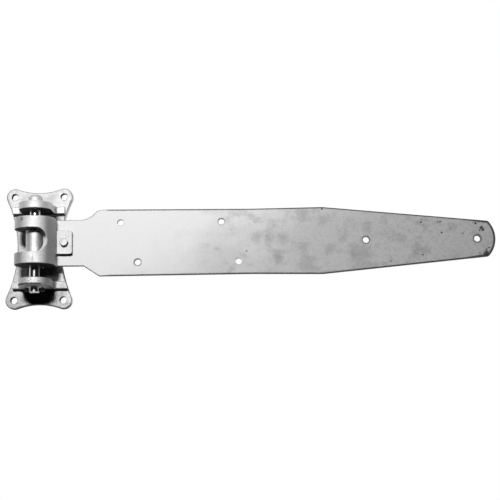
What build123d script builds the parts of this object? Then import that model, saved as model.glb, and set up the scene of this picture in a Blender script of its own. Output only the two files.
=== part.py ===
"""Heavy strap hinge: a wall flange with two lugs, a headed pin, and a barrel that carries a long strap."""
import os
from math import atan2, cos, radians, sin, sqrt

from build123d import *

# Millimetres. The origin is the middle of the flange's four bolts, on the face that lies on the door frame.
# X runs along the closed strap, Z along the pin, and the front of the hinge faces -Y.
os.makedirs("parts", exist_ok=True)

# The hinge pin, which everything turns on, and the running clearance round it.
pin_d = 14.0
pin_axis_from_wall = 47.0
running_clearance = 0.06
seat_clearance = 0.03
pin_head_d = 18.4
pin_head_flat_d = 10.8
pin_head_height = 10.6
pin_head_rim = 4.6
pin_tail = 9.2
pin_tail_chamfer = 1.2

# The flange casting.
flange_bolts_x = 67.0
flange_bolts_z = 142.0
flange_bolt_hole_d = 9.5
flange_lobe_r = 11.8
flange_thick = 10.0
flange_waist = 59.4
flange_end_dip = 6.0
flange_edge_r = 1.8
lug_gap = 92.5
lug_thick = 10.0
lug_nose_r = 22.0
lug_strip_length = 70.0
lug_strip_proud = 8.0
lug_root_r = 5.0
lug_edge_r = 1.2

# The barrel casting and the window through which the collar is put in.
barrel_d = 54.4
barrel_height = 64.0
barrel_lift = 3.9
barrel_top_rise = 31.25
barrel_edge_r = 1.5
ring_lower = 16.0
window_height = 32.0
window_angle = 29.0
window_overrun = 6.8
window_edge_r = 1.0
chamber_d = 30.0

# The collar on the pin, inside the barrel.
collar_d = 24.0
collar_end_gap = 0.35
collar_chamfer = 0.8

# The strap, cut from plate, and its place behind the pin axis.
strap_thick = 6.0
strap_set_back = 17.0
strap_end_x = 8.0
strap_neck = 62.9
strap_neck_corner_x = 63.0
strap_shoulder_x = 84.0
strap_throat_x = 57.9
strap_upper_corner_x = 80.4
strap_upper_corner_drop = 2.0
strap_upper_shoulder_x = 93.0
strap_shoulder_width = 90.6
strap_waist_width = 88.4
strap_swell_width = 90.8
strap_tip_width = 48.2
strap_reach = 617.4
strap_tip_bulge = 9.6
strap_taper = 222.8
strap_swell_run = 97.0
strap_swell_r = 400.0
strap_tip_corner_r = 5.0
strap_edge_r = 1.2
strap_hole_d = 8.5
strap_hole_off_centre = 27.0
strap_hole_pitch = 136.0
strap_upper_first_x = 113.0
strap_lower_first_x = 136.0
strap_tip_hole_from_end = 24.4
strap_centre_pitch = 149.5

# The barrel's tongue, which lies on the strap, and the screw through it.
tongue_thick = 6.5
tongue_end_x = 48.3
tongue_corner_r = 3.0
tongue_edge_r = 0.8
screw_d = 6.0
screw_x = 37.5
screw_head_flats = 10.0
screw_head_height = 5.5
screw_hole_clearance = 0.4
screw_head_turn = 5.0
screw_end_short = 0.5

# The split pin that keeps the hinge pin from lifting out.
split_wire_d = 1.5
split_hole_d = 3.4
split_below_lug = 4.6
split_eye_height = 4.4
split_eye_length = 5.4
split_bend_r = 1.8
split_leg = 5.0
split_leg_angle = 20.0

# Sizes that follow from the ones above.
pin_r = pin_d / 2
pin_y = -pin_axis_from_wall
lug_half_gap = lug_gap / 2
lug_outer = lug_half_gap + lug_thick
strip_front = -(flange_thick + lug_strip_proud)
barrel_r = barrel_d / 2
barrel_top = barrel_lift + barrel_top_rise
barrel_bottom = barrel_top - barrel_height
window_bottom = barrel_bottom + ring_lower
window_middle = window_bottom + window_height / 2
strap_front = pin_y + strap_set_back
strap_back = strap_front + strap_thick
tongue_front = strap_front - tongue_thick
split_z = -lug_outer - split_below_lug
strap_tip_x = strap_reach - strap_tip_bulge
strap_swell_x = strap_tip_x - strap_taper
strap_waist_x = strap_swell_x - strap_swell_run
strap_centre_first_x = strap_reach - strap_tip_hole_from_end - strap_centre_pitch

# The flange: an hourglass plate with a round lobe at each bolt, and two lugs that hold the pin.
# Each concave side is an arc that runs smoothly into the lobes beside it.
# The lower lug's strip runs out to the plate's rim on the strap's side.
lobe_x = flange_bolts_x / 2
lobe_z = flange_bolts_z / 2
waist_x = flange_waist / 2
dip_z = lobe_z + flange_lobe_r - flange_end_dip
side_r = (lobe_z**2 + (waist_x - lobe_x) ** 2 - flange_lobe_r**2) / (2 * (flange_lobe_r + lobe_x - waist_x))
end_r = (lobe_x**2 + (dip_z - lobe_z) ** 2 - flange_lobe_r**2) / (2 * (flange_lobe_r + lobe_z - dip_z))
side_angle = atan2(lobe_z, waist_x + side_r - lobe_x)
end_angle = atan2(dip_z + end_r - lobe_z, lobe_x)
side_touch = (lobe_x + flange_lobe_r * cos(side_angle), lobe_z - flange_lobe_r * sin(side_angle))
end_touch = (lobe_x - flange_lobe_r * cos(end_angle), lobe_z + flange_lobe_r * sin(end_angle))

with BuildPart() as flange:
    with BuildSketch(Plane.XZ):
        with BuildLine():
            Polyline(
                [
                    (side_touch[0], -side_touch[1]),
                    (side_touch[0], side_touch[1]),
                    (end_touch[0], end_touch[1]),
                    (-end_touch[0], end_touch[1]),
                    (-side_touch[0], side_touch[1]),
                    (-side_touch[0], -side_touch[1]),
                    (-end_touch[0], -end_touch[1]),
                    (end_touch[0], -end_touch[1]),
                ],
                close=True,
            )
        make_face()
        with GridLocations(flange_bolts_x, flange_bolts_z, 2, 2):
            Circle(flange_lobe_r)
        with Locations((waist_x + side_r, 0), (-waist_x - side_r, 0)):
            Circle(side_r, mode=Mode.SUBTRACT)
        with Locations((0, dip_z + end_r), (0, -dip_z - end_r)):
            Circle(end_r, mode=Mode.SUBTRACT)
    extrude(amount=flange_thick)
    front_rim = flange.faces().sort_by(Axis.Y)[0].outer_wire().edges()
    fillet(front_rim, flange_edge_r)
    for lug_z in (lug_half_gap, -lug_outer):
        with BuildSketch(Plane.XY.offset(lug_z)) as lug_outline:
            with Locations((0, (strip_front - flange_thick / 2) / 2)):
                Rectangle(lug_strip_length, -strip_front - flange_thick / 2)
            with Locations((0, (pin_y - flange_thick) / 2)):
                Rectangle(2 * lug_nose_r, -(pin_y + flange_thick))
            with Locations((0, pin_y)):
                Circle(lug_nose_r)
            strip_corners = lug_outline.vertices().filter_by(lambda v: abs(v.Y - strip_front) < 0.01)
            fillet(strip_corners.filter_by(lambda v: abs(v.X) < lug_nose_r + 0.01), lug_root_r)
            fillet(strip_corners.filter_by(lambda v: abs(v.X) > lug_nose_r + 0.01), flange_edge_r)
        extrude(amount=lug_thick)
    with BuildSketch(Plane.XZ.offset(flange_thick - flange_edge_r)):
        with Locations(((lobe_x + flange_lobe_r) / 2, -lug_half_gap - lug_thick / 2)):
            Rectangle(lobe_x + flange_lobe_r, lug_thick)
        with Locations((waist_x + side_r, 0)):
            Circle(side_r, mode=Mode.SUBTRACT)
    extrude(amount=lug_strip_proud + flange_edge_r)
    lug_rims = flange.edges().filter_by(
        lambda e: e.center().Y < strip_front + 1
        and min(abs(abs(e.center().Z) - lug_half_gap), abs(abs(e.center().Z) - lug_outer)) < 0.01
    )
    fillet(lug_rims, lug_edge_r)
    with BuildSketch(Plane.XY.offset(-lug_outer)):
        with Locations((0, pin_y)):
            Circle(pin_r + seat_clearance)
    extrude(amount=2 * lug_outer, mode=Mode.SUBTRACT)
    with BuildSketch(Plane.XZ):
        with GridLocations(flange_bolts_x, flange_bolts_z, 2, 2):
            Circle(flange_bolt_hole_d / 2)
    extrude(amount=flange_thick, mode=Mode.SUBTRACT)
flange.part.label = "flange"
export_step(flange.part, "parts/flange.step")

# The hinge pin: a turned rod with a domed head above the upper lug, and a hole for the split pin in its tail.
with BuildPart() as hinge_pin:
    with BuildSketch(Plane.XZ.offset(pin_axis_from_wall)):
        with BuildLine():
            rod = Polyline(
                (0, -lug_outer - pin_tail),
                (pin_r - pin_tail_chamfer, -lug_outer - pin_tail),
                (pin_r, -lug_outer - pin_tail + pin_tail_chamfer),
                (pin_r, lug_outer),
                (pin_head_d / 2, lug_outer),
                (pin_head_d / 2, lug_outer + pin_head_rim),
            )
            dome = TangentArc(rod @ 1, (pin_head_flat_d / 2, lug_outer + pin_head_height), tangent=(0, 1))
            top = Line(dome @ 1, (0, lug_outer + pin_head_height))
            Line(top @ 1, rod @ 0)
        make_face()
    revolve(axis=Axis((0, pin_y, 0), (0, 0, 1)))
    with BuildSketch(Plane.YZ):
        with Locations((pin_y, split_z)):
            Circle(split_hole_d / 2)
    extrude(amount=pin_d, both=True, mode=Mode.SUBTRACT)
hinge_pin.part.label = "hinge_pin"
export_step(hinge_pin.part, "parts/hinge_pin.step")

# The split pin: one wire, folded to an eye on the right and spread a little on the left.
leg_z = split_wire_d / 2 + seat_clearance
bend_x = pin_r + 1
leg_end_x = bend_x + split_leg * cos(radians(split_leg_angle))
leg_end_z = leg_z + split_leg * sin(radians(split_leg_angle))
eye_half = split_eye_height / 2
with BuildPart() as split_pin:
    with BuildLine(Plane.XZ.offset(pin_axis_from_wall)) as wire_path:
        FilletPolyline(
            (-leg_end_x, split_z + leg_end_z),
            (-bend_x, split_z + leg_z),
            (bend_x, split_z + leg_z),
            (bend_x + split_eye_height / 2, split_z + eye_half),
            (bend_x + split_eye_length, split_z + eye_half),
            (bend_x + split_eye_length, split_z - eye_half),
            (bend_x + split_eye_height / 2, split_z - eye_half),
            (bend_x, split_z - leg_z),
            (-bend_x, split_z - leg_z),
            (-leg_end_x, split_z - leg_end_z),
            radius=split_bend_r,
        )
    wire_start = wire_path.wire()
    with BuildSketch(Plane(wire_start @ 0, z_dir=wire_start % 0)):
        Circle(split_wire_d / 2)
    sweep(path=wire_start)
split_pin.part.label = "split_pin"
export_step(split_pin.part, "parts/split_pin.step")

# The collar: a thick ring pressed on the pin inside the barrel, so that the barrel's upper ring rides on it.
collar_height = window_height - 2 * collar_end_gap
with BuildPart() as collar:
    with BuildSketch(Plane.XY.offset(window_bottom + collar_end_gap)):
        with Locations((0, pin_y)):
            Circle(collar_d / 2)
    extrude(amount=collar_height)
    chamfer(collar.edges(), collar_chamfer)
    with BuildSketch(Plane.XY.offset(window_bottom)):
        with Locations((0, pin_y)):
            Circle(pin_r + seat_clearance)
    extrude(amount=window_height, mode=Mode.SUBTRACT)
collar.part.label = "collar"
export_step(collar.part, "parts/collar.step")

# The barrel: a casting with a ring above and below, joined by a web on the strap's side. The window between
# the rings ends in a full round that is cut straight toward the pin, and the left side is open right through.
with BuildPart() as barrel:
    with BuildSketch(Plane.XY.offset(barrel_bottom)):
        with Locations((0, pin_y)):
            Circle(barrel_r)
        with Locations((barrel_r / 2, pin_y + barrel_r / 2)):
            Rectangle(barrel_r, barrel_r)
    extrude(amount=barrel_height)
    ring_rims = barrel.faces().filter_by(Axis.Z).edges()
    fillet(ring_rims, barrel_edge_r)
    with BuildSketch(Plane.XZ.offset(-strap_front)):
        with Locations((tongue_end_x / 2, barrel_lift)):
            Rectangle(tongue_end_x, window_height)
    extrude(amount=tongue_thick)
    edges_through = barrel.edges().filter_by(Axis.Y)
    tongue_corners = edges_through.filter_by(lambda e: abs(e.center().X - tongue_end_x) < 0.01)
    fillet(tongue_corners, tongue_corner_r)
    tongue_rim = barrel.edges().filter_by(
        lambda e: abs(e.center().Y - tongue_front) < 0.01 and e.center().X > barrel_r - 1
    )
    fillet(tongue_rim, tongue_edge_r)
    with BuildSketch(Plane.XY.offset(window_bottom)):
        with Locations((0, pin_y)):
            Circle(chamber_d / 2)
        with Locations((-barrel_r, pin_y)):
            Rectangle(2 * barrel_r, 2 * barrel_d)
    extrude(amount=window_height, mode=Mode.SUBTRACT)
    toward_window = (sin(radians(window_angle)), -cos(radians(window_angle)), 0)
    across_window = (cos(radians(window_angle)), sin(radians(window_angle)), 0)
    with BuildSketch(Plane((0, pin_y, window_middle), x_dir=across_window, z_dir=toward_window)):
        with Locations((window_overrun - window_height / 2, 0)):
            Circle(window_height / 2)
        with Locations((window_overrun - window_height / 2 - barrel_d / 2, 0)):
            Rectangle(barrel_d, window_height)
    extrude(amount=barrel_d, mode=Mode.SUBTRACT)
    window_rim = barrel.edges().filter_by(
        lambda e: abs(e.center().Z - window_middle) < window_height / 2 + 0.01
        and all(abs(sqrt(v.X**2 + (v.Y - pin_y) ** 2) - barrel_r) < 0.01 for v in e.vertices())
        and e.center().Y < strap_front
    )
    fillet(window_rim, window_edge_r)
    with BuildSketch(Plane.XY.offset(barrel_bottom)):
        with Locations((strap_end_x + barrel_d / 2, strap_front + barrel_d / 2)):
            Rectangle(barrel_d, barrel_d)
    extrude(amount=barrel_height, mode=Mode.SUBTRACT)
    with BuildSketch(Plane.XY.offset(barrel_bottom)):
        with Locations((0, pin_y)):
            Circle(pin_r + running_clearance)
    extrude(amount=barrel_height, mode=Mode.SUBTRACT)
    with BuildSketch(Plane.XZ.offset(-strap_front)):
        with Locations((screw_x, barrel_lift)):
            Circle((screw_d + screw_hole_clearance) / 2)
    extrude(amount=tongue_thick, mode=Mode.SUBTRACT)
barrel.part.label = "barrel"
export_step(barrel.part, "parts/barrel.step")

# The strap: a long plate whose neck lies in the barrel's rebate, with a swelling blade and a rounded tip.
# Below, the neck opens in a straight slope. Above, a hollow throat rises to a corner and a shallow round.
neck_top = barrel_lift + strap_neck / 2
shoulder_top = barrel_lift + strap_shoulder_width / 2
upper_corner = (strap_upper_corner_x, shoulder_top - strap_upper_corner_drop)
upper_shoulder = (strap_upper_shoulder_x, shoulder_top)
with BuildPart() as strap:
    with BuildSketch(Plane.XZ.offset(-strap_back)) as strap_outline:
        with BuildLine():
            lower_side = Polyline(
                (strap_tip_x, barrel_lift - strap_tip_width / 2),
                (strap_swell_x, barrel_lift - strap_swell_width / 2),
                (strap_waist_x, barrel_lift - strap_waist_width / 2),
                (strap_shoulder_x, barrel_lift - strap_shoulder_width / 2),
                (strap_neck_corner_x, barrel_lift - strap_neck / 2),
                (strap_end_x, barrel_lift - strap_neck / 2),
                (strap_end_x, neck_top),
                (strap_throat_x, neck_top),
            )
            TangentArc(lower_side @ 1, upper_corner, tangent=(1, 0))
            TangentArc(upper_shoulder, upper_corner, tangent=(-1, 0))
            upper_side = Polyline(
                upper_shoulder,
                (strap_waist_x, barrel_lift + strap_waist_width / 2),
                (strap_swell_x, barrel_lift + strap_swell_width / 2),
                (strap_tip_x, barrel_lift + strap_tip_width / 2),
            )
            ThreePointArc(upper_side @ 1, (strap_reach, barrel_lift), lower_side @ 0)
        make_face()
        outline_points = strap_outline.vertices()
        fillet(outline_points.filter_by(lambda v: abs(v.X - strap_tip_x) < 0.01), strap_tip_corner_r)
        fillet(outline_points.filter_by(lambda v: abs(v.X - strap_swell_x) < 0.01), strap_swell_r)
        with Locations((strap_upper_first_x, barrel_lift + strap_hole_off_centre)):
            with Locations((0, 0), (strap_hole_pitch, 0)):
                Circle(strap_hole_d / 2, mode=Mode.SUBTRACT)
        with Locations((strap_lower_first_x, barrel_lift - strap_hole_off_centre)):
            with Locations((0, 0), (strap_hole_pitch, 0)):
                Circle(strap_hole_d / 2, mode=Mode.SUBTRACT)
        with Locations((strap_centre_first_x, barrel_lift)):
            with Locations((0, 0), (strap_centre_pitch, 0)):
                Circle(strap_hole_d / 2, mode=Mode.SUBTRACT)
        with Locations((screw_x, barrel_lift)):
            Circle(screw_d / 2 + seat_clearance, mode=Mode.SUBTRACT)
    extrude(amount=strap_thick)
    front_rim = strap.faces().sort_by(Axis.Y)[0].outer_wire().edges()
    fillet(front_rim, strap_edge_r)
strap.part.label = "strap"
export_step(strap.part, "parts/strap.step")

# The tongue screw: a hexagon head with a turned chamfer, and a shank through the tongue into the strap's thread.
head_corner_r = screw_head_flats / sqrt(3)
with BuildPart() as tongue_screw:
    with BuildSketch(Plane.XZ.offset(-tongue_front)):
        with Locations((screw_x, barrel_lift)):
            RegularPolygon(screw_head_flats / 2, 6, major_radius=False, rotation=screw_head_turn)
    extrude(amount=screw_head_height)
    with BuildSketch(Plane.XY.offset(barrel_lift)):
        with BuildLine():
            Polyline(
                (screw_x, tongue_front),
                (screw_x + head_corner_r + 0.1, tongue_front),
                (screw_x + head_corner_r + 0.1, tongue_front - screw_head_height + 0.6),
                (screw_x + screw_head_flats / 2 - 0.3, tongue_front - screw_head_height),
                (screw_x, tongue_front - screw_head_height),
                close=True,
            )
        make_face()
    revolve(axis=Axis((screw_x, 0, barrel_lift), (0, 1, 0)), mode=Mode.INTERSECT)
    with BuildSketch(Plane.XZ.offset(-tongue_front)):
        with Locations((screw_x, barrel_lift)):
            Circle(screw_d / 2)
    extrude(amount=-(tongue_thick + strap_thick - screw_end_short))
tongue_screw.part.label = "tongue_screw"
export_step(tongue_screw.part, "parts/tongue_screw.step")
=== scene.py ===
"""The looks of a galvanised strap hinge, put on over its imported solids."""
import math

import bpy
from mathutils import Matrix, Vector


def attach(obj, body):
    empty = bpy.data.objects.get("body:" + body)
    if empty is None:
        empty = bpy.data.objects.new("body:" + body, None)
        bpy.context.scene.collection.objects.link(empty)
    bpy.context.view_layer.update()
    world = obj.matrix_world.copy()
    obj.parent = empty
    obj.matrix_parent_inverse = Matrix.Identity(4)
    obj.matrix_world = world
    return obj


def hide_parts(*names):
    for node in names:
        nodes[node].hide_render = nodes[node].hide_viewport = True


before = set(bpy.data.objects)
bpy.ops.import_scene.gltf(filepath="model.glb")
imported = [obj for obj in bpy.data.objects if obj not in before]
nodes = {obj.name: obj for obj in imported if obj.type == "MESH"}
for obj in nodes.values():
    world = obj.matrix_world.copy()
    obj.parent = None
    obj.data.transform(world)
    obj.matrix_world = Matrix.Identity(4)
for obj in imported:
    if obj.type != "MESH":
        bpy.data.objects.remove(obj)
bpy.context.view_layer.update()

# The wall flange: an hourglass plate with two lugs for the pin, one iron casting.
# It is tumbled, dipped in molten zinc, and bolted to the door frame through its four lobes.
# The plate behind the barrel and under the lower lug is painted nearly black, a painted shadow of the
# barrel and lugs.


class Value:
    """One output socket of a node tree. Arithmetic on it adds Math nodes, node() any other kind."""

    def __init__(self, socket):
        self.socket = socket

    def node(self, kind, settings=None, sockets=None, output=0):
        made = self.socket.id_data.nodes.new(kind)
        for name, setting in (settings or {}).items():
            setattr(made, name, setting)
        for name, value in (sockets or {}).items():
            if isinstance(value, Value):
                self.socket.id_data.links.new(value.socket, made.inputs[name])
            else:
                made.inputs[name].default_value = value
        return Value(made.outputs[output])

    def feed(self, shader, name):
        self.socket.id_data.links.new(self.socket, shader.inputs[name])

    def math(self, operation, first, second=0.0):
        return self.node("ShaderNodeMath", {"operation": operation}, {0: first, 1: second})

    def __add__(self, other):
        return self.math("ADD", self, other)

    def __radd__(self, other):
        return self.math("ADD", other, self)

    def __sub__(self, other):
        return self.math("SUBTRACT", self, other)

    def __rsub__(self, other):
        return self.math("SUBTRACT", other, self)

    def __mul__(self, other):
        return self.math("MULTIPLY", self, other)

    def __rmul__(self, other):
        return self.math("MULTIPLY", other, self)

    def __neg__(self):
        return self.math("SUBTRACT", 0.0, self)

    def __abs__(self):
        return self.math("ABSOLUTE", self)

    def most(self, other):
        return self.math("MAXIMUM", self, other)

    def least(self, other):
        return self.math("MINIMUM", self, other)

    def rise(self, low, high):
        """0 below low and 1 above high, with a soft step between them."""
        steps = {"Value": self, "From Min": low, "From Max": high}
        return self.node("ShaderNodeMapRange", {"interpolation_type": "SMOOTHSTEP"}, steps)

    def blend(self, first, second):
        """The first colour where this is 0 and the second where it is 1."""
        return self.node("ShaderNodeMix", {"data_type": "RGBA"}, {0: self, 6: first, 7: second}, 2)

    def away(self, spot):
        """How far this place is from a spot, in metres."""
        return self.node("ShaderNodeVectorMath", {"operation": "DISTANCE"}, {0: self, 1: spot}, 1)

    def noise(self, scale, detail=3.0, roughness=0.55, stretch=None, shift=(0.0, 0.0, 0.0)):
        """A cloud of that many lumps to the metre, read at this place."""
        where = self
        if stretch is not None or any(shift):
            placing = {"Vector": self, "Location": shift, "Scale": stretch or (1.0, 1.0, 1.0)}
            where = self.node("ShaderNodeMapping", {}, placing)
        lumps = {"Vector": where, "Scale": scale, "Detail": detail, "Roughness": roughness}
        return self.node("ShaderNodeTexNoise", {}, lumps)

    def axes(self):
        split = self.node("ShaderNodeSeparateXYZ", {}, {"Vector": self}).socket.node
        return [Value(output) for output in split.outputs]


def grey(level, warmth=0.0):
    return (level * (1 + warmth), level, level * (1 - warmth), 1.0)


def new_finish(name):
    """A new material, its shader, the place on the piece and the way the surface faces there."""
    material = bpy.data.materials.new(name)
    material.use_nodes = True
    shader = material.node_tree.nodes["Principled BSDF"]
    place = Value(shader.outputs[0]).node("ShaderNodeTexCoord", output="Object")
    facing = Value(place.socket.node.outputs["Normal"])
    return material, shader, place, facing


def bump(height, depth, strength):
    return height.node("ShaderNodeBump", {}, {"Height": height, "Distance": depth, "Strength": strength})


def cast_zinc(name, shift):
    """Rough zinc on a casting: its finish, then its clouds, dark specks and blow holes from 0 to 1,
    and the height of its skin."""
    material, shader, place, facing = new_finish(name)
    shader.inputs["Metallic"].default_value = 1.0
    cloud = place.noise(38.0, 4.0, 0.6, shift=shift).rise(0.36, 0.66)
    sand = place.noise(560.0, 3.0, 0.7, shift=shift)
    speck = sand.rise(0.5, 0.72)
    cells = place.node("ShaderNodeTexVoronoi", {}, {"Vector": place, "Scale": 210.0})
    blow_hole = (1 - cells.rise(0.05, 0.16)) * place.noise(55.0, 1.0, shift=shift).rise(0.56, 0.66)
    skin = sand * 1.1 + place.noise(130.0, 2.0, shift=shift) * 1.6 - blow_hole * 0.9
    return material, shader, place, facing, cloud, speck, blow_hole, skin


def dress(name, material):
    """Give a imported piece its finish."""
    nodes[name].data.materials.clear()
    nodes[name].data.materials.append(material)


bolt_across, bolt_up, bolt_hole_radius = 0.0335, 0.071, 0.00475
dark_line_up = -0.0551
casting = cast_zinc("flange_zinc", (0.3, 0.1, 0.7))
flange_zinc, shader, place, facing, cloud, speck, blow_hole, skin = casting
across, depth_in, up = place.axes()
_, faces_out, faces_up = facing.axes()
lug = 1 - depth_in.rise(-0.0215, -0.0185)
on_plate = depth_in.rise(-0.0125, -0.0105)
sandy = 1 - up.rise(-0.06, 0.04)
# The lugs are painted lighter than the plate, a painted highlight standing in for their broad sheen; the
# lower lug is painted a little darker than the upper.
plate_tone = on_plate.blend(grey(0.58), sandy.blend(grey(0.48), grey(0.53)))
colour = lug.blend(plate_tone, up.rise(-0.02, 0.02).blend(grey(0.76), grey(0.82)))
colour = (cloud * (0.07 + sandy * 0.07) + speck * (0.18 + sandy * 0.6)).blend(colour, grey(0.12))
shaded = lug * across.rise(0.011, 0.02) * (1 - up.rise(-0.01, 0.0))
colour = (shaded * 0.66).blend(colour, grey(0.15))
colour = (blow_hole * 0.7).blend(colour, grey(0.06))
# The plate's rim is painted pale where it faces sideways and dark where it faces down: a painted sheen and
# a painted shade.
plate_rim = (1 - abs(faces_out).rise(0.55, 0.96)) * on_plate
colour = plate_rim.blend(colour, faces_up.rise(-0.75, -0.2).blend(grey(0.1), grey(0.75)))
# Painted shadow: the plate's right rim beside the lower lug is painted nearly black.
rim_shadow = plate_rim * across.rise(0.0, 0.01) * up.rise(-0.064, -0.054) * (1 - up.rise(-0.03, -0.02))
colour = (rim_shadow * 0.95).blend(colour, grey(0.03))
# The bolt-hole walls are painted near black and made rough and non-metallic so they stay dark: painted
# shade in the holes.
hole_across, hole_up = abs(across) - bolt_across, abs(up) - bolt_up
from_bolt = hole_across * hole_across + hole_up * hole_up
hole_wall = 1 - from_bolt.rise((bolt_hole_radius + 0.00005)**2, (bolt_hole_radius + 0.00045)**2)
colour = hole_wall.blend(colour, grey(0.02))
# Painted shadow: the plate's front behind the barrel and in a round patch below the lower lug is painted
# nearly black.
from_middle = abs(across - 0.005) + (cloud - 0.5) * 0.005
plate_front = on_plate * (1 - depth_in.rise(-0.0095, -0.0085))
behind = (1 - from_middle.rise(0.014, 0.027)) * up.rise(-0.041, -0.036) * (1 - up.rise(0.043, 0.047))
shadow_below_lug = 1 - (place.away((0.0, -0.010, -0.0565)) + (cloud - 0.5) * 0.003).rise(0.019, 0.0245)
grease = behind.most(shadow_below_lug) * plate_front
colour = (grease * 0.95).blend(colour, grey(0.02))
# The lugs' undersides, the upper one most, are painted near black: painted shade.
lug_under = (-faces_up).rise(0.5, 0.9) * (1 - on_plate) * (0.25 + up.rise(-0.02, 0.0) * 0.75)
colour = (lug_under * (0.94 + cloud * 0.05)).blend(colour, grey(0.02))
# A dark, slightly sunken line runs along the front of the lower lug at its bottom edge.
from_dark_line = abs(up - dark_line_up + (place.noise(90.0, 2.0) - 0.5) * 0.0008)
on_nose = (1 - depth_in.rise(-0.056, -0.05)) * (1 - across.rise(0.009, 0.015))
dark_edge_line = (1 - from_dark_line.rise(0.0006, 0.0013)) * on_nose
dark_edge_line = dark_edge_line * place.noise(170.0, 2.0).rise(0.15, 0.4)
(dark_edge_line * 0.9).blend(colour, grey(0.03)).feed(shader, "Base Color")
(0.6 + lug * 0.08 + cloud * 0.08 + hole_wall * 0.3).feed(shader, "Roughness")
(1 - hole_wall).feed(shader, "Metallic")
bump(skin - dark_edge_line, 0.0003, 0.55).feed(shader, "Normal")
dress("flange", flange_zinc)

# The hinge pin: a steel rod, turned bright, with a domed head that rests on the upper lug.
# It is dropped in from above, and its tail stands out below the lower lug.
# The head is as pale and rough as the castings, with its sideways-facing flanks painted dark as painted
# shade, and the shank's right side below the barrel is painted dark as painted shade.


def turned_steel(name, tone, polish, axis_rings):
    """Steel from the lathe: fine rings round the axis and a thin smear of old grease."""
    material, shader, place, facing = new_finish(name)
    shader.inputs["Metallic"].default_value = 1.0
    rings = place.noise(1.0, 2.0, 0.6, stretch=axis_rings)
    smear = place.noise(70.0, 3.0, 0.6).rise(0.48, 0.7)
    colour = (smear * 0.5).blend(grey(tone), grey(tone * 0.55, 0.03))
    colour.feed(shader, "Base Color")
    polish = polish + smear * 0.14 + rings * 0.08
    polish.feed(shader, "Roughness")
    bump(rings, 0.00004, 0.6).feed(shader, "Normal")
    return material, shader, place, facing, colour, polish


turned = turned_steel("pin_steel", 0.7, 0.17, (40.0, 40.0, 2600.0))
pin_steel, shader, place, facing, colour, polish = turned
across, _, up = place.axes()
_, faces_out, _ = facing.axes()
# Painted shade: the shank's right side below the barrel is painted nearly black.
pin_side_shade = across.rise(0.002, 0.006) * up.rise(-0.056, -0.05) * (1 - up.rise(-0.031, -0.028))
colour = (pin_side_shade * 0.85).blend(colour, grey(0.03))
head = up.rise(0.0561, 0.0565)
# Painted shade: the head's sideways-facing flanks are painted dark, its face pale.
head_zinc_and_shade = abs(faces_out).rise(0.1, 0.45).blend(grey(0.12), grey(0.8))
head_zinc_and_shade = (place.noise(300.0, 2.0).rise(0.45, 0.8) * 0.25).blend(head_zinc_and_shade, grey(0.25))
head.blend(colour, head_zinc_and_shade).feed(shader, "Base Color")
(polish + head * (0.7 - polish)).feed(shader, "Roughness")
dress("hinge_pin", pin_steel)

# The collar: a thick steel ring pressed on the pin between the barrel's two rings.
# It is dull from the lathe, and its right side, where the window wall shades it, is painted dark: a painted
# shade.
collar_steel, shader, place, _, colour, _ = turned_steel("collar_steel", 0.7, 0.6, (60.0, 60.0, 1900.0))
across, _, _ = place.axes()
(across.rise(0.003, 0.0085) * 0.55).blend(colour, grey(0.1)).feed(shader, "Base Color")
dress("collar", collar_steel)

# The split pin: half-round steel wire folded to an eye, pushed through the pin's tail.
# Its two legs lie flat against each other, and their ends are spread a little on the left.
pin_axis, cross_hole_up = -0.047, -0.06085
fold_wire_radius, fold_bend_radius = 0.00155, 0.0016
# The wire is painted near black: painted shade where it hangs under the lower lug.
wire_steel = turned_steel("wire_steel", 0.06, 0.46, (900.0, 2600.0, 2600.0))[0]
fold = bpy.data.node_groups.new("folded_wire", "GeometryNodeTree")
fold.interface.new_socket("Route", in_out="INPUT", socket_type="NodeSocketGeometry")
fold.interface.new_socket("Wire radius", in_out="INPUT", socket_type="NodeSocketFloat")
fold.interface.new_socket("Bend radius", in_out="INPUT", socket_type="NodeSocketFloat")
fold.interface.new_socket("Wire", in_out="OUTPUT", socket_type="NodeSocketGeometry")
route, wire_radius, bend_radius = [Value(output) for output in fold.nodes.new("NodeGroupInput").outputs][:3]
line = route.node("GeometryNodeMeshToCurve", {}, {"Mesh": route})
bends = {"Curve": line, "Radius": bend_radius, "Count": 10, "Limit Radius": True}
line = route.node("GeometryNodeFilletCurve", {"mode": "POLY"}, bends)
half_round = {"Resolution": 20, "Radius": wire_radius, "Start Angle": math.pi, "Sweep Angle": math.pi}
section = route.node("GeometryNodeCurveArc", {"mode": "RADIUS"}, half_round)
section = route.node("GeometryNodeSetSplineCyclic", {}, {"Geometry": section, "Cyclic": True})
drawn = {"Curve": line, "Profile Curve": section, "Fill Caps": True}
wire = route.node("GeometryNodeCurveToMesh", {}, drawn)
wire = route.node("GeometryNodeRealizeInstances", {}, {"Geometry": wire})
wire = route.node("GeometryNodeSetMaterial", {}, {"Geometry": wire, "Material": wire_steel})
wire.feed(fold.nodes.new("NodeGroupOutput"), "Wire")

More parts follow.
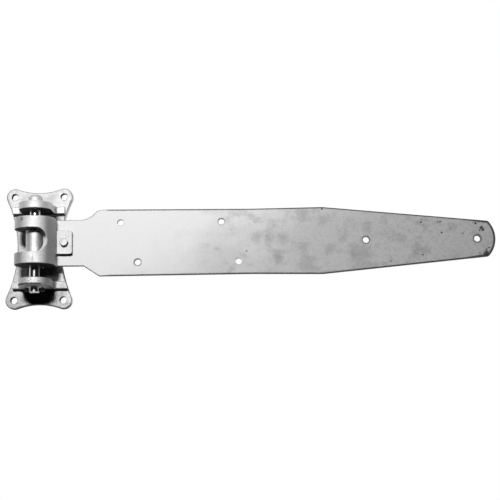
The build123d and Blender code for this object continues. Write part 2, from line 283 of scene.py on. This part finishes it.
# Half of the fold, in millimetres from the middle of the cross hole.
half_fold = [(-12.96, 1.785), (-8.13, 0.03), (8.0, 0.03), (10.2, 1.45), (12.65, 1.45)]
fold_points = half_fold + [(x, -z) for x, z in reversed(half_fold)]
wire_route = bpy.data.meshes.new("split_pin_wire")
wire_places = [(x / 1000, pin_axis, cross_hole_up + z / 1000) for x, z in fold_points]
wire_route.from_pydata(wire_places, [(i, i + 1) for i in range(len(wire_places) - 1)], [])
split_pin_wire = bpy.data.objects.new("split_pin_wire", wire_route)
bpy.context.scene.collection.objects.link(split_pin_wire)
folding = split_pin_wire.modifiers.new("folded_wire", "NODES")
folding.node_group = fold
folding[fold.interface.items_tree["Wire radius"].identifier] = fold_wire_radius
folding[fold.interface.items_tree["Bend radius"].identifier] = fold_bend_radius
folded = split_pin_wire.evaluated_get(bpy.context.evaluated_depsgraph_get())
wire_mesh = bpy.data.meshes.new_from_object(folded)
split_pin_wire.modifiers.clear()
split_pin_wire.data = wire_mesh
wire_mesh.shade_smooth()
wire_mesh.set_sharp_from_angle(angle=math.radians(40))
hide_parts("split_pin")
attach(split_pin_wire, "frame_side")

# The barrel: an iron casting with a running ring above and below, a web and a tongue.
# It is galvanised like the flange, and its undersides are painted near black: painted shade.
# A seam of the mould runs down the front of its lower ring, and its upper ring has a nick.
casting = cast_zinc("barrel_zinc", (0.9, 0.4, 0.2))
barrel_zinc, shader, place, facing, cloud, speck, blow_hole, skin = casting
across, depth_in, up = place.axes()
_, _, faces_up = facing.axes()
from_axis = across * across + (depth_in - pin_axis) * (depth_in - pin_axis)
in_window = up.rise(-0.0128, -0.0124) * (1 - up.rise(0.0187, 0.0191))
window_wall = (1 - from_axis.rise(0.0258**2, 0.0264**2)) * in_window * (1 - depth_in.rise(-0.05, -0.046))
tongue = across.rise(0.0268, 0.0278)
colour = tongue.blend(grey(0.84), grey(0.73))
colour = (cloud * 0.1 + speck * 0.36).blend(colour, grey(0.18))
colour = (blow_hole * 0.7).blend(colour, grey(0.06))
# The window's end wall is painted pale and made non-metallic below, a painted highlight where the lamp
# reaches in, and black above, a painted shadow under the upper ring.
colour = window_wall.blend(colour, up.rise(0.005, 0.01).blend(grey(0.95), grey(0.05)))
# The barrel's left and right flanks are painted darker: painted shade.
left_side = (1 - across.rise(-0.018, -0.0115)) * (0.26 + 0.22 * (1 - up.rise(-0.014, -0.012)))
right_side = across.rise(0.013, 0.021) * (1 - tongue) * (1 - window_wall)
colour = (left_side + right_side * 0.5).blend(colour, grey(0.2))
# Painted shade: the undersides of the rings are painted near black.
under = (-faces_up).rise(0.25, 0.75)
colour = (under * (0.88 + cloud * 0.1)).blend(colour, grey(0.02))
from_seam = abs(across - 0.0007 + (place.noise(160.0, 1.0) - 0.5) * 0.0012)
on_lower_ring = (1 - depth_in.rise(-0.066, -0.06)) * (1 - up.rise(-0.014, -0.0125))
seam = (1 - from_seam.rise(0.0003, 0.001)) * on_lower_ring
seam = seam * place.noise(300.0, 2.0).rise(0.44, 0.6)
nick = place.away((-0.0143, -0.0701, 0.0318)).least(place.away((-0.0141, -0.0702, 0.0294)))
nick = (nick + (place.noise(400.0, 2.0) - 0.5) * 0.003).rise(0.0007, 0.0022)
scars = (seam * 0.6).most((1 - nick) * 0.7)
scars.blend(colour, grey(0.08)).feed(shader, "Base Color")
(1 - window_wall * 0.9).feed(shader, "Metallic")
(0.66 + (cloud + tongue * (0.75 - cloud)) * 0.08).feed(shader, "Roughness")
bump(skin * (1 - tongue * 0.7) - scars, 0.0003, 0.55).feed(shader, "Normal")
dress("barrel", barrel_zinc)

# The strap: a long steel plate, cut out, its edges broken with a file and its face galvanised.
# The zinc is painted bright by the barrel and darker toward the tip, partly zinc gone dull and partly
# painted shade where the lamp's sheen falls off; it is stained and pitted toward the tip.
strap_face, strap_middle, strap_hole_radius = -0.030, 0.0039, 0.00425
tip_centre, tip_radius = 0.58235, 0.03505
strap_zinc, shader, place, facing = new_finish("strap_zinc")
shader.inputs["Metallic"].default_value = 1.0
along, _, up = place.axes()
_, faces_out, _ = facing.axes()
cloud = place.noise(13.0, 5.0, 0.62, shift=(0.2, 0.0, 0.5))
patch = place.noise(42.0, 4.0, 0.6, stretch=(1.0, 1.0, 1.3), shift=(0.7, 0.0, 0.1))
streak = place.noise(1.0, 3.0, 0.6, stretch=(26.0, 1.0, 170.0))
grain = place.noise(520.0, 2.0, 0.6)
# Partly dull zinc and partly painted shade: the strap darkens along its length.
dulled_and_shaded = along - up.rise(0.006, 0.042) * 0.08 + (1 - up.rise(-0.03, 0.012)) * 0.035
dulled_and_shaded = dulled_and_shaded + (cloud - 0.5) * 0.2 + (patch - 0.5) * 0.07
colour = dulled_and_shaded.rise(0.12, 0.39).blend(grey(0.56), grey(0.39))
stain = patch.rise(0.5, 0.66) * along.rise(0.17, 0.27)
colour = (stain * 0.05 + streak.rise(0.5, 0.72) * along.rise(0.15, 0.4) * 0.07).blend(colour, grey(0.14))
mottle = place.noise(240.0, 3.0, 0.65, shift=(0.4, 0.0, 0.9))
aged = 0.03 + along.rise(0.15, 0.4) * 0.12 + along.rise(0.42, 0.52) * 0.12
mottled = (grain.rise(0.5, 0.75) * 0.4 + mottle.rise(0.42, 0.7)) * aged
colour = mottled.blend(colour, grey(0.16))
ragged = (place.noise(260.0, 3.0) - 0.5) * 0.004
# Smears: along the strap, up, and how far each reaches.
smears = [
    (0.4400, -0.0140, 0.014), (0.4280, -0.0100, 0.011), (0.5120, -0.0080, 0.009), (0.5220, -0.0118, 0.008),
    (0.5577, 0.0192, 0.006), (0.2957, 0.0085, 0.009), (0.3137, 0.0065, 0.009), (0.3308, 0.0081, 0.011),
    (0.3259, -0.0219, 0.008),
]
smeared = along * 0.0
for x, z, reach in smears:
    from_smear = place.away((x, strap_face, z)) + ragged * 5.0
    smeared = smeared.most(1 - from_smear.rise(reach * 0.1, reach * 1.3))
colour = (smeared * (0.11 + along.rise(0.36, 0.4) * 0.07)).blend(colour, grey(0.12))
# Pits: along the strap, up, and size.
pits = [
    (0.5180, 0.0270, 1.1), (0.5187, 0.0300, 0.7), (0.5439, 0.0276, 1.2), (0.5400, 0.0262, 0.6),
    (0.5455, 0.0120, 1.1), (0.5742, 0.0108, 0.9), (0.5912, 0.0243, 1.2), (0.5880, 0.0252, 0.6),
    (0.5990, 0.0185, 2.0), (0.6010, 0.0155, 1.8), (0.5968, 0.0150, 0.9), (0.6048, -0.0160, 2.8),
    (0.6020, -0.0168, 1.4), (0.6052, -0.0110, 1.2), (0.6085, -0.0085, 1.0), (0.5195, -0.0173, 1.0),
    (0.4766, -0.0259, 0.7), (0.3852, 0.0463, 1.0), (0.5960, -0.0160, 0.8), (0.2829, -0.0095, 0.8),
]
pitted = along * 0.0
for x, z, size in pits:
    from_pit = place.away((x, strap_face, z)) + ragged * 0.5
    pitted = pitted.most(1 - from_pit.rise(size * 0.0006, size * 0.0016))
colour = (pitted * 0.88).blend(colour, grey(0.025))
# Dark rings at the holes: along the strap, up, width, and how dark.
hole_rings = [
    (0.113, 0.0309, 0.0009, 0.35), (0.249, 0.0309, 0.0011, 0.6),
    (0.136, -0.0231, 0.0014, 0.75), (0.272, -0.0231, 0.0006, 0.15),
    (0.4435, strap_middle, 0.0016, 0.7), (0.593, strap_middle, 0.0022, 0.7),
]
ringed = along * 0.0
for x, z, width, depth in hole_rings:
    past_hole = place.away((x, strap_face, z)) + ragged * 0.15 - strap_hole_radius
    ringed = ringed.most((1 - past_hole.rise(width * 0.5, width * 1.2)) * depth)
colour = ringed.blend(colour, grey(0.05))
off_middle = abs(up - strap_middle)
narrowing = (along - 0.093).most(0.0).least(0.195) * 0.00564
swelling = (along - 0.288).most(0.0).least(0.097) * 0.01237
tapering = (along - 0.385).most(0.0) * 0.0956
to_side = 0.0453 - narrowing + swelling - tapering - off_middle
to_tip = tip_radius - place.away((tip_centre, strap_face, strap_middle))
to_edge = to_side.least(to_tip + (1 - along.rise(0.582, 0.584))) + ragged * 0.12
# The band just inside the outline, the edge fillets and the side faces are painted dark: painted shade on
# the edges.
edge_reach = 0.0024 + along.rise(0.575, 0.6) * 0.0014
edge_darkness = 0.6 + along.rise(0.3, 0.6).most(up.rise(0.0, 0.01)) * 0.25
edge_shade_band = (1 - (to_edge - edge_reach).rise(-0.0014, 0.0)) * along.rise(0.09, 0.1) * edge_darkness
side = 1 - abs(faces_out).rise(0.15, 0.4)
fillet_shade = (1 - abs(faces_out).rise(0.5, 0.97)) * (1 - side)
colour = edge_shade_band.most(fillet_shade).blend(colour, grey(0.035))
side.blend(colour, (grain.rise(0.4, 0.7) * 0.5).blend(grey(0.3), grey(0.16))).feed(shader, "Base Color")
(0.66 + stain * 0.04 + smeared * 0.03).feed(shader, "Roughness")
bump(grain * 0.4 + cloud * 2.0 - pitted * 1.5, 0.0002, 0.4).feed(shader, "Normal")
dress("strap", strap_zinc)

# The tongue screw: a hexagon-head steel screw, zinc plated, that clamps the tongue on the strap.
# The lower faces of its chamfered head are painted near black: painted shade.
turned = turned_steel("screw_zinc", 0.52, 0.58, (700.0, 900.0, 700.0))
screw_zinc, shader, _, facing, colour, _ = turned
_, _, faces_up = facing.axes()
((-faces_up).rise(0.2, 0.7) * 0.92).blend(colour, grey(0.03)).feed(shader, "Base Color")
dress("tongue_screw", screw_zinc)

# The studio: a pale floor below and behind the hung hinge, white all round behind it,
# and one soft lamp above the lens.
# The white is only behind the hinge, so the metal shows it on its flanks and the dim room on its front.
floor_mesh = bpy.data.meshes.new("floor")
floor_corners = [(-3, -0.4, -1.2), (3, -0.4, -1.2), (3, 5.5, -1.2), (-3, 5.5, -1.2)]
floor_mesh.from_pydata(floor_corners, [], [(0, 1, 2, 3)])
floor = bpy.data.objects.new("floor", floor_mesh)
bpy.context.scene.collection.objects.link(floor)
floor_paint, shader, place, _ = new_finish("floor_paint")
pale = place.noise(3.0, 3.0).blend(grey(0.94), grey(0.98))
pale.feed(shader, "Base Color")
shader.inputs["Roughness"].default_value = 0.8
ray = place.node("ShaderNodeLightPath").socket.node.outputs
seen = Value(ray["Is Camera Ray"]).most(Value(ray["Is Glossy Ray"])).most(Value(ray["Is Transmission Ray"]))
shown_pale = place.node("ShaderNodeEmission", {}, {"Color": pale, "Strength": 1.0})
paint_or_pale = {0: seen * 0.95, 1: Value(shader.outputs[0]), 2: shown_pale}
seen_floor = place.node("ShaderNodeMixShader", {}, paint_or_pale)
seen_floor.feed(floor_paint.node_tree.nodes["Material Output"], "Surface")
floor_mesh.materials.append(floor_paint)

room = bpy.data.worlds.new("room")
room.use_nodes = True
bpy.context.scene.world = room
dim = room.node_tree.nodes["Background"]
dim.inputs["Color"].default_value = grey(0.008)
dim_light = Value(dim.outputs[0])
ray = dim_light.node("ShaderNodeLightPath").socket.node.outputs
_, toward_wall, _ = dim_light.node("ShaderNodeTexCoord", output="Generated").axes()
in_metal = Value(ray["Is Glossy Ray"]).most(Value(ray["Is Transmission Ray"]))
shows_white = Value(ray["Is Camera Ray"]).most(in_metal * toward_wall.rise(-0.1, 0.3))
white = dim_light.node("ShaderNodeBackground", {}, {"Color": grey(1.0), "Strength": 1.0})
sky = dim_light.node("ShaderNodeMixShader", {}, {0: shows_white, 1: dim_light, 2: white})
sky.feed(room.node_tree.nodes["World Output"], "Surface")

lamp_at = Vector((-0.07, -2.07, 0.74))
lamp_aim = Vector((0.12, pin_axis, 0.0))
lamp_data = bpy.data.lights.new("lamp", "AREA")
lamp_data.shape = "ELLIPSE"
lamp_data.size = 0.4
lamp_data.size_y = 0.28
lamp_data.energy = 48.0
lamp = bpy.data.objects.new("lamp", lamp_data)
lamp.location = lamp_at
lamp.rotation_euler = (lamp_aim - lamp_at).to_track_quat("-Z", "Y").to_euler()
bpy.context.scene.collection.objects.link(lamp)

# The camera: a little below the hinge and far off, as in the photograph.
aim = Vector((0.28754, pin_axis, -0.0109))
camera_away, focal_px, picture_px = 1.982, 1486.3, 500
rise, turn, roll = math.radians(-8.43), math.radians(0.70), math.radians(-0.547)
back = Vector((math.sin(turn) * math.cos(rise), -math.cos(turn) * math.cos(rise), math.sin(rise)))
level = (-back).cross(Vector((0, 0, 1))).normalized()
upright = level.cross(-back)
right = level * math.cos(roll) + upright * math.sin(roll)
over = upright * math.cos(roll) - level * math.sin(roll)
lens = bpy.data.cameras.new("camera")
lens.sensor_width = 36.0
lens.lens = lens.sensor_width * focal_px / picture_px
camera = bpy.data.objects.new("camera", lens)
turned_camera = Matrix((right, over, back)).transposed().to_4x4()
camera.matrix_world = Matrix.Translation(aim + back * camera_away) @ turned_camera
bpy.context.scene.collection.objects.link(camera)
bpy.context.scene.camera = camera
bpy.context.scene.view_settings.view_transform = "Standard"
